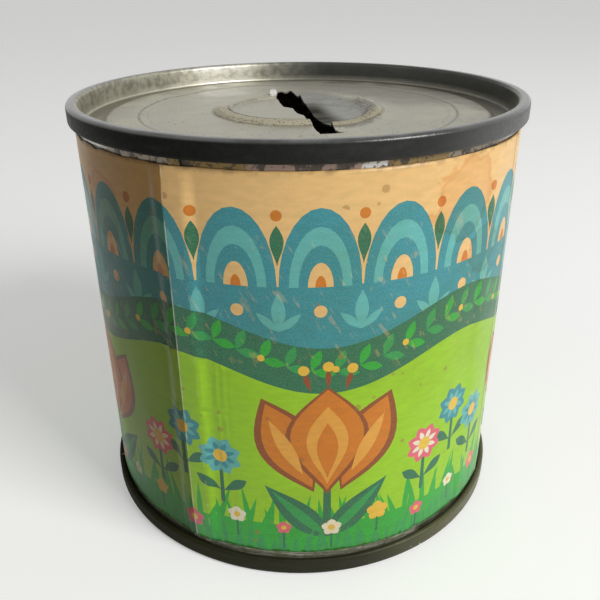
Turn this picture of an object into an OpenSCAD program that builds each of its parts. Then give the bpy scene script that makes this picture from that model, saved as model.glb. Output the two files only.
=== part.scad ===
// Round tin money box: a can body with a locked and soldered side seam, closed at
// both ends by double-seamed ends, with a coin slot in the top end and a paper label.
// +Z is up, +Y runs along the coin slot, and the origin is the middle of the
// bottom seam's resting face.

/* [Can] */
// Outside diameter over the seams
seam_d = 68.3; // [62:0.1:80]
// Height over both seams
height = 65.0; // [45:0.1:120]
// Thickness of the end plate
end_t = 0.24; // [0.2:0.01:0.3]
// Thickness of the body plate
body_t = 0.22; // [0.18:0.01:0.26]

/* [Double seams] */
// Height of a double seam
seam_h = 2.75; // [2.5:0.05:3.3]
// Bend radius at the seam's outer corners, at mid plate
seam_corner = 0.45; // [0.4:0.05:0.6]
// Room for sealing compound between the layers of a seam
film = 0.12; // [0.08:0.01:0.15]
// Free space beyond the end of each hook
hook_gap = 0.15; // [0.1:0.01:0.25]

/* [Top end] */
// Depth of the countersink groove below the rim
groove_depth = 3.3; // [3.1:0.1:4.5]
// Width of the countersink groove
groove_w = 4; // [2:0.1:5]
// Rise from the groove to the outer land
land_rise = 0.45; // [0.3:0.05:0.9]
// Width of the outer land
land_w = 4.6; // [3:0.1:6]
// Rise from the outer land to the panel
panel_rise = 0.25; // [0.1:0.05:0.5]
// Middle radius of the ring bead
bead_r = 11.4; // [10.5:0.1:14]
// Width of the ring bead's crown
bead_w = 1.6; // [1:0.1:2.2]
// Height of the ring bead
bead_h = 0.5; // [0.3:0.05:0.8]

/* [Coin slot] */
// Length of the slot
slot_l = 35.2; // [30:0.1:37]
// Width of the slot
slot_w = 4.7; // [4.4:0.1:6]
// Distance of the slot's middle line from the axis
slot_x = 1.3; // [0:0.1:3]
// How far the torn teeth stand into the slot
tooth_h = 1.1; // [0.3:0.1:1.8]
// Depth of the dent where the right lip is pushed down
dent_depth = 1.0; // [0.4:0.1:1.3]
// Reach of the dent to the side of the slot
dent_w = 8; // [5:0.5:10]
// Length of the dent along the slot
dent_l = 31; // [20:0.5:34]
// Radius of the scrap that is curled up at the slot's rear corner
burr_r = 0.7; // [0.5:0.1:1.2]
// Width of the curled scrap
burr_w = 1.6; // [1:0.1:2.4]

/* [Bottom end] */
// Depth of the bottom end's countersink groove
base_groove = 3.4; // [3.2:0.1:4.5]
// Rise of each step of the bottom end
base_step = 0.5; // [0.3:0.05:0.6]
// Width of each ring of the bottom end
base_ring = 5.5; // [4:0.1:6]

/* [Side seam] */
// Direction of the side seam round the body
lock_at = 229.6; // [200:0.1:260]
// Width of the locked fold between its bend centres
lock_w = 2.4; // [1.8:0.1:3.2]
// Room for solder between the folded layers
solder_gap = 0.05; // [0.04:0.01:0.08]
// Height of the plain lap at each end of the side seam
lap_h = 6; // [5:0.1:9]
// Width of the plain lap
lap_w = 3.4; // [2.5:0.1:5]

/* [Label] */
// Thickness of the label paper
paper_t = 0.12; // [0.08:0.01:0.2]
// Bare strip of tin between the bottom seam and the label
bare_low = 0.95; // [0.3:0.05:4]
// Bare strip of tin between the label and the top seam
bare_high = 0.85; // [0.3:0.05:4]
// Direction of the label's outer edge round the body
label_edge = -40; // [-80:1:0]
// Width of the label's glued overlap
label_lap = 8; // [5:0.5:12]
// Thickness of the glue
glue_t = 0.04; // [0.03:0.005:0.08]
// Width of the glue strip that holds the label's inner edge to the body
pickup_w = 5; // [3:0.5:8]

/* [Hidden] */
$fn = 96;
arc_step = 15;      // degrees of bend to one facet of an outline
facet = 1.2;        // length of a facet on sheets that are wrapped round the body
hair = 0.01;        // running clearance between a filling and the plate beside it
over = 1;           // how far a cutting tool runs past what it cuts

// Radii of the seam's five layers, at mid plate, from the outside in
layer = (end_t + body_t) / 2 + film;
r_seam_wall = seam_d / 2 - end_t / 2;
r_body_hook = r_seam_wall - layer;
r_cover_hook = r_body_hook - layer;
r_body = r_cover_hook - layer;
r_chuck = r_body - layer;
r_body_out = r_body + body_t / 2;

// Levels in a seam, measured inwards from the rim
rim = -end_t / 2;
curl = -seam_h + end_t / 2;
body_top = rim - layer;
cover_hook_end = body_top - layer - hook_gap;
body_hook_end = curl + layer + hook_gap;

// Radii and levels of the top end's panel, at mid plate
r_land = r_chuck - groove_w;
r_panel = r_land - land_w;
groove = rim - groove_depth;
land = groove + land_rise;
panel = land + panel_rise;
ramp = 0.8;         // width of a sloping step between two levels
soft = 0.5;         // bend radius of the panel's steps
bead_out = bead_r + bead_w / 2;
bead_in = bead_r - bead_w / 2;
bead_flank = 0.9;   // width of the bead's sloping outer side
bead_fall = 0.5;    // width of its steeper inner side
burr_turn = 150;    // degrees that the scrap is curled
burr_at = 0.9;      // its rear edge, in half lengths of the slot

// The lock's layers lie one pitch apart, across the body's own radius
pitch = body_t + solder_gap;
joggle = 0.85;      // length of the step by which a sheet climbs to its layer
shoulder = 0.35;    // room between a joggle and the fold beside it
lock_half = lock_w / 2;
bite = 0.5;         // how far the locked sheet runs into the plain mouths

// The label lies on a film of glue and tents over the lock
label_in = r_body_out + glue_t;
r_label = label_in + paper_t / 2;
label_low = seam_h + bare_low;
label_high = height - seam_h - bare_high;
label_h = label_high - label_low;
label_step = paper_t + glue_t;
tent = 1.6;         // length of paper that spans from the body up to the lock
crest = lock_half + pitch + 0.2;
label_start = label_edge - degrees_on(r_label, label_lap);
climb = 1;          // length of the step by which the label climbs over its own edge
climb_gap = 0.1;    // room between the top of that step and the edge
glue_margin = 1;    // bare border between a glue strip and the paper's edges

// ---- Bent sheet ----

// Degrees that an arc of the given length takes on a circle of radius r
function degrees_on(r, length) = length / r * 180 / PI;

function unit(v) = v / norm(v);

// The arc of radius r that rounds the corner b of the outline a, b, c
function corner(a, b, c, r) =
    let (u = unit(a - b), v = unit(c - b), half = acos(u * v) / 2,
         centre = b + unit(u + v) * r / sin(half),
         from = b + u * r / tan(half) - centre,
         to = b + v * r / tan(half) - centre,
         turn = (180 - 2 * half) * sign(cross(from, to)),
         steps = max(2, ceil(abs(turn) / arc_step)),
         start = atan2(from.y, from.x))
    [for (i = [0:steps]) let (t = start + turn * i / steps) centre + r * [cos(t), sin(t)]];

// A line through the points, each [x, y, bend radius], with every corner rounded
function bent(p) = apart(concat(
    [[p[0].x, p[0].y]],
    [for (i = [1:len(p) - 2])
        each corner([p[i - 1].x, p[i - 1].y], [p[i].x, p[i].y], [p[i + 1].x, p[i + 1].y], p[i].z)],
    [[p[len(p) - 1].x, p[len(p) - 1].y]]));

// The same line without points that lie on each other
function apart(path) = [for (i = [0:len(path) - 1]) if (i == 0 || norm(path[i] - path[i - 1]) > 0.001) path[i]];

// The same line with its long stretches cut to facets
function faceted(path) = concat(
    [for (i = [0:len(path) - 2])
        let (n = ceil(norm(path[i + 1] - path[i]) / facet))
        each [for (k = [0:n - 1]) path[i] + (path[i + 1] - path[i]) * k / n]],
    [path[len(path) - 1]]);

// Where the sheet's face passes the path's point i, at the distance h to its left
function beside(path, i, h) =
    let (last = len(path) - 1,
         before = unit(path[max(i, 1)] - path[max(i, 1) - 1]),
         after = unit(path[min(i, last - 1) + 1] - path[min(i, last - 1)]),
         across = unit([-before.y - after.y, before.x + after.x]))
    path[i] + across * h / (across * [-after.y, after.x]);

// The outline of a sheet of thickness t along a line
function sheet(path, t) = concat(
    [for (i = [0:len(path) - 1]) beside(path, i, t / 2)],
    [for (i = [len(path) - 1:-1:0]) beside(path, i, -t / 2)]);

// A sheet revolved about the can's axis
module turned(path, t) rotate_extrude() polygon(sheet(path, t));

// A sheet whose plan is drawn as [distance round the can, height above radius r]
module wrapped(path, t, r, at, h) linear_extrude(h)
    polygon([for (p = sheet(faceted(path), t))
        (r + p.y) * [cos(at + degrees_on(r, p.x)), sin(at + degrees_on(r, p.x))]]);

// Part of a tube wall, from one direction round the can to another
module arc_wall(r_in, t, from, to, h)
    rotate([0, 0, from]) rotate_extrude(angle = to - from) translate([r_in, 0]) square([t, h]);

// ---- Ends ----

// From the cover hook round the seam to the chuck wall
function end_rim(depth) = [
    [r_cover_hook, cover_hook_end, 0],
    [r_cover_hook, curl, layer],
    [r_seam_wall, curl, layer],
    [r_seam_wall, rim, seam_corner],
    [r_chuck, rim, seam_corner],
    [r_chuck, depth, soft]];

function top_line() = bent(concat(end_rim(groove), [
    [r_land + ramp, groove, soft],
    [r_land, land, soft],
    [r_panel + ramp, land, soft],
    [r_panel, panel, soft],
    [bead_out + bead_flank, panel, soft],
    [bead_out, panel + bead_h, soft],
    [bead_in, panel + bead_h, soft],
    [bead_in - bead_fall, panel, soft / 2],
    [0, panel, 0]]));

function base_line() = bent(concat(end_rim(rim - base_groove), [
    [r_land + ramp, rim - base_groove, soft],
    [r_land, rim - base_groove + base_step, soft],
    [r_land - base_ring + ramp, rim - base_groove + base_step, soft],
    [r_land - base_ring, rim - base_groove + 2 * base_step, soft],
    [r_land - 2 * base_ring + ramp, rim - base_groove + 2 * base_step, soft],
    [r_land - 2 * base_ring, rim - base_groove + 3 * base_step, soft],
    [0, rim - base_groove + 3 * base_step, 0]]));

// The torn outline of the slot, as [across, along]: a nearly straight left edge and
// a right edge with two teeth
module slot_plan() {
    w = slot_w / 2;
    l = slot_l / 2;
    translate([slot_x, 0]) polygon([
        [-w, -l], [-w + 0.2, -l * 0.5], [-w, 0], [-w - 0.2, l * 0.5], [-w + 0.6, l],
        [w - 0.3, l], [w, l * 0.86], [w - tooth_h, l * 0.75], [w - 0.2, l * 0.62],
        [w, l * 0.4], [w, -l * 0.5], [w - tooth_h, -l * 0.62], [w - 0.2, -l * 0.7],
        [w - 0.6, -l * 0.84], [w - 0.2, -l]]);
}

// A ring whose lowest stretch presses a dent dent_w wide to the side and dent_l long
module dent_tool(grow) {
    r = dent_w * dent_w / (2 * dent_depth);
    r_long = dent_l * dent_l / (8 * dent_depth);
    turn = 30;
    translate([slot_x + slot_w / 2, 0, panel + end_t / 2 - dent_depth + r_long])
        rotate([0, 90, 0]) rotate([0, 0, -turn / 2])
            rotate_extrude(angle = turn) translate([r_long - r, 0]) circle(r + grow);
}

// The side of the slot that is pushed down
module pushed_side() {
    reach = r_panel - slot_x;
    translate([slot_x, -reach, groove - over]) cube([reach, 2 * reach, groove_depth + 2 * over]);
}

// Everything below the panel's upper face
module below_panel() {
    faces = sheet(top_line(), end_t);
    n = len(faces) / 2;
    upper = [for (i = [0:n - 1]) let (a = faces[i], b = faces[2 * n - 1 - i])
        if (top_line()[i].x < r_panel) (a.y > b.y ? a : b)];
    rotate_extrude() polygon(concat(upper, [[0, groove - over], [upper[0].x, groove - over]]));
}

// The scrap of plate that the tear left curled up over the left lip
module burr() translate([slot_x - slot_w / 2, burr_at * slot_l / 2, panel - end_t / 2 + burr_r])
    rotate([90, 0, 0]) rotate([0, 0, -90]) rotate_extrude(angle = burr_turn)
        translate([burr_r - end_t, 0]) square([end_t, burr_w]);

module top_end() color("darkgray") translate([0, 0, height]) {
    difference() {
        union() {
            difference() {
                turned(top_line(), end_t);
                intersection() { dent_tool(end_t / 2); pushed_side(); }
            }
            intersection() {
                difference() { dent_tool(end_t); dent_tool(0); }
                pushed_side();
                below_panel();
            }
        }
        translate([0, 0, groove - over]) linear_extrude(groove_depth + over) slot_plan();
    }
    burr();
}

module bottom_end() color("dimgray") mirror([0, 0, 1]) turned(base_line(), end_t);

// ---- Sealing compound ----

// The filling between the body's hook and the end's seaming panel
function compound_line() =
    let (r = seam_corner - layer / 2)
    bent([
        [r_chuck + layer / 2, cover_hook_end, 0],
        [r_chuck + layer / 2, rim - layer / 2, r],
        [r_seam_wall - layer / 2, rim - layer / 2, r],
        [r_seam_wall - layer / 2, body_hook_end, 0]]);

module compound() turned(compound_line(), film - 2 * hair);

module top_seam_compound() color("darkolivegreen") translate([0, 0, height]) compound();

module bottom_seam_compound() color("darkolivegreen") mirror([0, 0, 1]) compound();

// ---- Body ----

// The plain tube at one end of the body, with its hook, measured from the rim
function hook_line() = bent([
    [r_body_hook, body_hook_end, 0],
    [r_body_hook, body_top, layer],
    [r_body, body_top, layer],
    [r_body, -lap_h, 0]]);

// One end of the body: the hook, and the second layer of the side seam's lap
module body_mouth() {
    turned(hook_line(), body_t);
    half = degrees_on(r_body, lap_w / 2);
    translate([0, 0, -lap_h])
        arc_wall(r_body_out, body_t, lock_at - half, lock_at + half, lap_h - seam_h - hair);
}

// The body's one sheet, from the hook that dips under the fold, once round the can, to
// the hook that climbs over it and tucks back inside
function blank_line() =
    let (round = 2 * PI * r_body, fold = lock_half + pitch, foot = lock_half + shoulder)
    bent([
        [lock_half - pitch / 4, pitch, 0],
        [-fold, pitch, pitch],
        [-fold, -pitch, pitch],
        [foot, -pitch, soft / 2],
        [foot + joggle, 0, soft / 2],
        [round - foot - joggle, 0, soft / 2],
        [round - foot, 2 * pitch, soft / 2],
        [round + fold, 2 * pitch, pitch],
        [round + fold, 0, pitch],
        [round - lock_half + pitch / 4, 0, 0]]);

module can_body() color("silver") {
    translate([0, 0, height]) body_mouth();
    mirror([0, 0, 1]) body_mouth();
    translate([0, 0, lap_h - bite])
        wrapped(blank_line(), body_t - 2 * hair, r_body, lock_at, height - 2 * lap_h + 2 * bite);
}

// The film of solder that fills the lock from end to end
module side_seam_solder() color("lightsteelblue") translate([0, 0, lap_h + hair])
    wrapped(bent([
        [-lock_half, 1.5 * pitch, 0],
        [lock_half + solder_gap / 2, 1.5 * pitch, solder_gap],
        [lock_half + solder_gap / 2, 0.5 * pitch, solder_gap],
        [-lock_half - solder_gap / 2, 0.5 * pitch, solder_gap],
        [-lock_half - solder_gap / 2, -0.5 * pitch, solder_gap],
        [lock_half, -0.5 * pitch, 0]]),
        solder_gap - 2 * hair, r_body, lock_at, height - 2 * lap_h - 2 * hair);

// ---- Label ----

// The paper from its inner edge, over the lock, to the edge that laps over the start
function label_line() =
    let (round = 2 * PI * r_label, ridge = (lock_at - label_start) * r_label * PI / 180)
    bent([
        [0, 0, 0],
        [ridge - crest - tent, 0, soft],
        [ridge - crest, 2 * pitch, soft],
        [ridge + crest, 2 * pitch, soft],
        [ridge + crest + tent, 0, soft],
        [round - climb - climb_gap, 0, soft],
        [round - climb_gap, label_step, soft],
        [round + label_lap, label_step, 0]]);

module paper_label() color("wheat") translate([0, 0, label_low])
    wrapped(label_line(), paper_t, r_label, label_start, label_h);

module label_pickup_glue() color("goldenrod") translate([0, 0, label_low + glue_margin])
    arc_wall(r_body_out + hair, glue_t - 2 * hair, label_start,
        label_start + degrees_on(r_label, pickup_w), label_h - 2 * glue_margin);

module label_lap_glue() color("goldenrod") translate([0, 0, label_low + glue_margin])
    arc_wall(label_in + paper_t + hair, glue_t - 2 * hair, label_start + degrees_on(r_label, glue_margin),
        label_edge - degrees_on(r_label, glue_margin), label_h - 2 * glue_margin);

can_body();
side_seam_solder();
top_end();
bottom_end();
top_seam_compound();
bottom_seam_compound();
paper_label();
label_pickup_glue();
label_lap_glue();
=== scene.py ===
import math
import random

import bpy
from bpy.props import FloatProperty, FloatVectorProperty, IntProperty, PointerProperty
from mathutils import Matrix, Vector, noise
from mathutils.geometry import delaunay_2d_cdt


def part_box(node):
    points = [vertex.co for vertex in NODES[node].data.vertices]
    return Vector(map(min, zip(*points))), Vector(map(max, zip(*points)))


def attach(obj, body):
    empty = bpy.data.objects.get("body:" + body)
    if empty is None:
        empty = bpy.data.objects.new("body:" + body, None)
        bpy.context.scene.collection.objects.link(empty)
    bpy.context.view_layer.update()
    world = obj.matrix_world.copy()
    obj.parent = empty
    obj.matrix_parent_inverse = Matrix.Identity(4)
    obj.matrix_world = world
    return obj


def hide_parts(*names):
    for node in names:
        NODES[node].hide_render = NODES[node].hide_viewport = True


bl_info = {
    "name": "Tin Money Box",
    "version": (1, 0, 0),
    "blender": (4, 5, 0),
    "location": "3D View > Sidebar > Money Box",
    "description": "Dresses a round tin money box with tinplate, worn seams and a printed paper label",
    "category": "Object",
}

MM = 0.001

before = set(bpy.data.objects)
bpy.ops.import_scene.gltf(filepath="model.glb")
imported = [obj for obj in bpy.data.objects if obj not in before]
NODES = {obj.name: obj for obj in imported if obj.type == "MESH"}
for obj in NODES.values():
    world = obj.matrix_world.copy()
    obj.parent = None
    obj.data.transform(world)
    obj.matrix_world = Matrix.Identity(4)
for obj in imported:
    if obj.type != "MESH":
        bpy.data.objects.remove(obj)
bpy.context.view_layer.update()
bpy.ops.object.select_all(action="DESELECT")

LABEL_LOW, LABEL_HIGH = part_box("paper_label")
LID_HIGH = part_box("top_end")[1]
LOCK_LOW, LOCK_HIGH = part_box("side_seam_solder")
GLUE_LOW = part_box("label_pickup_glue")[0]


# ---- Sizes and colours that a user would change ----


def length(name, text, default_mm, low=0.0):
    return FloatProperty(
        name=name, description=text, default=default_mm * MM, min=low, unit="LENGTH", precision=5
    )


def number(name, text, default, unit="NONE"):
    return FloatProperty(name=name, description=text, default=default, min=0.0, unit=unit)


def colour(name, text, default):
    return FloatVectorProperty(
        name=name, description=text, default=default, size=3, min=0.0, max=1.0, subtype="COLOR"
    )


class MoneyBoxLid(bpy.types.PropertyGroup):
    plate: length("Plate", "Thickness of the end plate", 0.24)
    seam_high: length("Seam height", "Height of the double seam", 2.75)
    seam_layer: length("Seam layer", "Distance between two layers of the seam", 0.35)
    seam_corner: length("Seam corner", "Bend radius at the seam's outer corners", 0.45)
    groove: length("Groove", "Depth of the countersink groove below the rim", 3.3)
    groove_wide: length("Groove width", "Width of the countersink groove", 4.0)
    land_rise: length("Land rise", "Rise from the groove to the outer land", 0.45)
    land_wide: length("Land width", "Width of the outer land", 4.6)
    panel_drop: length("Panel drop", "Step down from the outer land to the panel", 0.1)
    wall_lean: length("Wall lean", "How much narrower the countersink is at its foot", 0.25)
    bead: length("Bead", "Middle radius of the ring bead", 11.3)
    bead_wide: length("Bead width", "Width of the ring bead's crown", 1.7)
    bead_high: length("Bead height", "Height of the ring bead", 0.55)
    slot_long: length("Slot length", "Length of the coin slot", 35.2)
    slot_wide: length("Slot width", "Width of the coin slot", 4.7)
    slot_off: length("Slot offset", "Distance of the slot's middle line from the axis", 1.3)
    dent: length("Dent", "Depth to which the right lip is pushed down", 1.5)
    dent_wide: length("Dent width", "Reach of the dent beside the slot", 8.0)
    dent_long: length("Dent length", "Length of the dent along the slot", 30.0)
    ripple: length("Ripple", "Height of the hand-worn unevenness of the plate", 0.05)
    scrap: length("Scrap", "Radius of the scrap curled up at the slot's corner", 0.80)
    scrap_wide: length("Scrap width", "Width of the curled scrap", 1.2)


class MoneyBoxLabel(bpy.types.PropertyGroup):
    thickness: length("Paper thickness", "Thickness of the label paper", 0.12)
    grid: length("Grid", "Spacing of the paper's mesh", 1.1, 0.3 * MM)
    ridge_high: length("Ridge", "How far the side seam lifts the paper", 0.6)
    ridge_wide: length("Ridge width", "Width of the side seam's ridge at its crest", 3.4)
    tent: length("Tent", "Length of paper that slopes down beside the ridge", 1.8)
    lap: length("Lap", "Width of the glued overlap", 8.0)
    repeats: IntProperty(name="Repeats", description="Large flowers round the can", default=5, min=3)
    paper: colour("Paper", "Unprinted cream ground", (0.80, 0.51, 0.205))
    blue: colour("Blue", "Scalloped band", (0.018, 0.26, 0.31))
    pale_blue: colour("Pale blue", "Inner scallops", (0.095, 0.44, 0.43))
    deep_green: colour("Deep green", "Garland band", (0.003, 0.15, 0.075))
    leaf_green: colour("Leaf green", "Garland leaves", (0.006, 0.31, 0.075))
    lime: colour("Lime", "Field", (0.29, 0.58, 0.004))
    grass: colour("Grass", "Foot of the field", (0.002, 0.38, 0.032))
    orange: colour("Orange", "Large flowers", (0.60, 0.18, 0.006))
    brown: colour("Brown", "Shaded petals", (0.25, 0.06, 0.010))
    amber: colour("Amber", "Lit petals", (0.74, 0.35, 0.05))
    pink: colour("Pink", "Small blossoms", (0.72, 0.12, 0.18))
    # Also used for the label's scratches, its rubbing and the painted highlight line along the ridge's
    # fold.
    white: colour("White", "Small blossoms", (0.80, 0.75, 0.58))
    yellow: colour("Yellow", "Blossom centres", (0.78, 0.50, 0.05))
    age: colour("Age", "Tint of the aged varnish", (0.84, 0.72, 0.50))
    # Painted shade, with some browned varnish, multiplied over the paper left of the seam's ridge.
    smoke_and_shade: colour("Smoke", "Tint of the darkened varnish beside the seam's ridge", (0.31, 0.26, 0.16))
    tea: colour("Tea", "Tint of the dried wet patches", (0.90, 0.70, 0.52))
    # Also used, faded, for the painted shade lines along the lap and the dirt at the paper's upper and
    # lower edges.
    stain: colour("Stain", "Tea-coloured stains and foxing", (0.30, 0.13, 0.035))


class MoneyBoxTin(bpy.types.PropertyGroup):
    plate: colour("End plate", "Dull tinplate of the ends", (0.445, 0.43, 0.342))
    band: colour("Seam band", "Dark grey of the seam bands", (0.010, 0.011, 0.009))
    # A mid grey for painted light and shade: the highlight on the seam bands' crest and lit side, the
    # greyer hollow of the dent and the shaded side of the countersink wall; also the dull smears on the
    # band.
    crest: colour("Seam crest", "Mid grey of the seam bands' worn crest", (0.10, 0.105, 0.10))
    low_band: colour("Lower seam band", "Brownish grey of the lower seam band", (0.021, 0.021, 0.009))
    # Tinplate rubbed bare, for chips; also the colour of painted highlights on the plate, the countersink
    # wall, the dent and the body.
    bright: colour("Bright tin", "Tinplate rubbed bare", (0.66, 0.64, 0.60))
    body: colour("Body", "Tinplate of the body", (0.26, 0.22, 0.17))
    wear: colour("Wear", "Yellowish granular wear", (0.46, 0.41, 0.28))
    # Brownish film on the plate and in the groove; also used for painted shade on the plate, the dent, the
    # steps and the bead's edges.
    tarnish_and_shade: colour("Tarnish", "Brownish film on the plate", (0.13, 0.115, 0.085))
    rust: colour("Rust", "Thin pinkish rust on bare tin", (0.34, 0.23, 0.18))
    grime: colour("Grime", "Dirt in grooves and pits", (0.030, 0.028, 0.022))
    lacquer: colour("Lacquer", "Traces of gold lacquer", (0.24, 0.15, 0.035))
    # Dull stain of the body's foot, tinged green as a painted reflection of the label.
    foot_stain_and_reflection: colour("Foot stain", "Dull stain of the body's foot", (0.20, 0.205, 0.13))


class MoneyBoxFilling(bpy.types.PropertyGroup):
    compound: colour("Compound", "Sealing compound in the seams", (0.035, 0.04, 0.03))
    solder: colour("Solder", "Solder in the side seam", (0.42, 0.42, 0.42))
    glue: colour("Glue", "Dried glue under the label", (0.45, 0.30, 0.12))


class MoneyBoxStage(bpy.types.PropertyGroup):
    floor: colour("Floor", "Colour of the floor and backdrop", (0.78, 0.78, 0.77))
    glow: number("Glow", "How much lighter the floor looks", 0.40)
    sky: number("Sky", "Strength of the even light", 0.30)
    key: number("Key", "Power of the large lamp", 4.15, "POWER")
    fill: number("Fill", "Power of the small lamp", 0.2, "POWER")


# ---- Meshes ----


def mesh_object(name, verts, faces):
    mesh = bpy.data.meshes.new(name)
    mesh.from_pydata(verts, [], faces)
    mesh.validate()
    mesh.update()
    obj = bpy.data.objects.new(name, mesh)
    bpy.context.scene.collection.objects.link(obj)
    mesh.shade_smooth()
    return obj


def only(obj):
    bpy.ops.object.select_all(action="DESELECT")
    obj.select_set(True)
    bpy.context.view_layer.objects.active = obj


def edit(obj, *steps):
    """Runs mesh operators on the whole of one object, one after another."""
    only(obj)
    bpy.ops.object.mode_set(mode="EDIT")
    for step in steps:
        bpy.ops.mesh.select_all(action="SELECT")
        step()
    bpy.ops.object.mode_set(mode="OBJECT")


def face_outwards():
    bpy.ops.mesh.normals_make_consistent(inside=False)


def modify(obj, kind, **settings):
    """Puts a modifier on the object, sets it and applies it."""
    only(obj)
    modifier = obj.modifiers.new(kind.lower(), kind)
    for name, value in settings.items():
        setattr(modifier, name, value)
    bpy.ops.object.modifier_apply(modifier=modifier.name)


def smooth(t):
    t = min(max(t, 0.0), 1.0)
    return t * t * (3 - 2 * t)


# ---- Node trees ----


class Value:
    """A socket's value in a node tree, for sums and products with other values or plain numbers."""

    def __init__(self, nodes, socket):
        self.nodes = nodes
        self.socket = socket

    def __add__(self, other):
        return self.nodes.math("ADD", self, other)

    def __sub__(self, other):
        return self.nodes.math("SUBTRACT", self, other)

    def __mul__(self, other):
        return self.nodes.math("MULTIPLY", self, other)

    def __truediv__(self, other):
        return self.nodes.math("DIVIDE", self, other)

    def __abs__(self):
        return self.nodes.math("ABSOLUTE", self)

    def spread(self, low, high, to_low=0.0, to_high=1.0):
        """What runs from low to high here, eased so that it runs from to_low to to_high."""
        inputs = {"Value": self, "From Min": low, "From Max": high, "To Min": to_low, "To Max": to_high}
        return self.nodes.add("MapRange", inputs, interpolation_type="SMOOTHSTEP")["Result"]

    def inside(self, low, high, soft):
        """1 where the value lies between low and high."""
        return self.spread(low - soft, low + soft) * self.spread(high + soft, high - soft)


class Outputs:
    """A node's outputs by name or place, each as a Value."""

    def __init__(self, nodes, sockets):
        self.nodes = nodes
        self.sockets = sockets

    def __getitem__(self, key):
        return Value(self.nodes, self.sockets[key])


class Nodes:
    """Adds nodes to one tree. An input is given as a Value or as a plain value."""

    def __init__(self, tree):
        self.tree = tree

    def put(self, socket, value):
        if isinstance(value, Value):
            self.tree.links.new(value.socket, socket)
        elif value is not None:
            socket.default_value = value

    def add(self, kind, inputs=None, **settings):
        node = self.tree.nodes.new("ShaderNode" + kind)
        for name, value in settings.items():
            setattr(node, name, value)
        for name, value in (inputs or {}).items():
            self.put(node.inputs[name], value)
        return Outputs(self, node.outputs)

    def use(self, effect, **inputs):
        """The outputs of a shared effect, which is built the first time that it is asked for."""
        group = bpy.data.node_groups.get(effect) or EFFECTS[effect]()
        return self.add("Group", inputs, node_tree=group)

    def math(self, operation, a, b=None):
        return self.add("Math", {0: a, 1: b}, operation=operation)[0]

    def most(self, a, b):
        return self.math("MAXIMUM", a, b)

    def vector(self, operation, a, b=None):
        out = "Value" if operation in ("LENGTH", "DISTANCE") else "Vector"
        return self.add("VectorMath", {0: a, 1: b}, operation=operation)[out]

    def scaled(self, vector, factor):
        return self.add("VectorMath", {0: vector, "Scale": factor}, operation="SCALE")["Vector"]

    def mix(self, amount, a, b, blend="MIX"):
        inputs = {0: amount, 6: as_rgba(a), 7: as_rgba(b)}
        return self.add("Mix", inputs, data_type="RGBA", blend_type=blend)[2]

    def blend(self, amount, a, b):
        return self.add("Mix", {0: amount, 2: a, 3: b}, data_type="FLOAT")[0]

    def noise(self, vector, scale, detail=3.0):
        inputs = {"Vector": vector, "Scale": scale, "Detail": detail, "Roughness": 0.55}
        return self.add("TexNoise", inputs)["Fac"]


def as_rgba(value):
    if isinstance(value, Value):
        return value
    return (*value, 1.0)


def faded(tint, factor):
    return tuple(min(c * factor, 1.0) for c in tint)


def effect_group(name, inputs, outputs=("Mask",)):
    """An empty shader group that takes a Vector too, as (group, nodes, what it gets, what it puts out)."""
    group = bpy.data.node_groups.new(name, "ShaderNodeTree")
    for socket, default in {"Vector": (0.0, 0.0, 0.0), **inputs}.items():
        kind = "NodeSocketFloat" if isinstance(default, float) else "NodeSocketVector"
        item = group.interface.new_socket(socket, in_out="INPUT", socket_type=kind)
        item.default_value = default
    for socket in outputs:
        group.interface.new_socket(socket, in_out="OUTPUT", socket_type="NodeSocketFloat")
    nodes = Nodes(group)
    given = Outputs(nodes, group.nodes.new("NodeGroupInput").outputs)
    made = group.nodes.new("NodeGroupOutput").inputs
    return group, nodes, given, made


def mottle_group():
    """Soft patches: noise whose values between low and high are spread over 0 to 1."""
    group, nodes, given, made = effect_group("mottle", {"Scale": 1.0, "Low": 0.4, "High": 0.6})
    value = nodes.noise(given["Vector"], given["Scale"], 4.0)
    nodes.put(made["Mask"], value.spread(given["Low"], given["High"]))
    return group


def specks_group():
    """Small round specks of uneven size, gathered in patches."""
    group, nodes, given, made = effect_group("specks", {"Scale": 1.0, "Size": 0.2, "Patches": 0.5})
    shaken = nodes.noise(given["Vector"], given["Scale"] * 2.3, 2.0)
    cell = nodes.add("TexVoronoi", {"Vector": given["Vector"], "Scale": given["Scale"]})
    chance = nodes.add("SeparateXYZ", {0: cell["Color"]})["X"]
    size = given["Size"] * nodes.math("POWER", chance, 2.0)
    dot = (cell["Distance"] + shaken * 0.12 - size).spread(0.10, 0.02)
    patch = nodes.noise(given["Vector"], given["Scale"] * 0.13, 2.0)
    nodes.put(made["Mask"], dot * nodes.math("GREATER_THAN", patch, given["Patches"]))
    return group


def scratches_group():
    """Thin broken lines along the vector's Y axis."""
    group, nodes, given, made = effect_group("scratches", {"Fine": 6.0, "Long": 0.15, "Cut": 0.68})
    stretch = nodes.add("CombineXYZ", {"X": given["Fine"], "Y": given["Long"], "Z": given["Fine"]})[0]
    line = nodes.noise(nodes.vector("MULTIPLY", given["Vector"], stretch), 1.0, 2.0)
    mark = line.spread(given["Cut"], given["Cut"] + 0.05)
    broken = nodes.noise(given["Vector"], 0.45, 2.0)
    nodes.put(made["Mask"], mark * broken.spread(0.48, 0.62))
    return group


def watermark_group():
    """A dried wet patch round a centre: its faint fill and its darker rim."""
    inputs = {"Centre": (0.0, 0.0, 0.0), "Radius": 5.0}
    group, nodes, given, made = effect_group("watermark", inputs, ("Fill", "Rim"))
    away = nodes.vector("DISTANCE", given["Vector"], given["Centre"])
    shaken = nodes.noise(given["Vector"], 0.35, 4.0) * given["Radius"]
    edge = (away + shaken) / (given["Radius"] * 1.5)
    nodes.put(made["Fill"], edge.spread(1.03, 0.97))
    nodes.put(made["Rim"], abs(edge - 0.96).spread(0.10, 0.0))
    return group


EFFECTS = {
    "mottle": mottle_group,
    "specks": specks_group,
    "scratches": scratches_group,
    "watermark": watermark_group,
}


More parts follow.
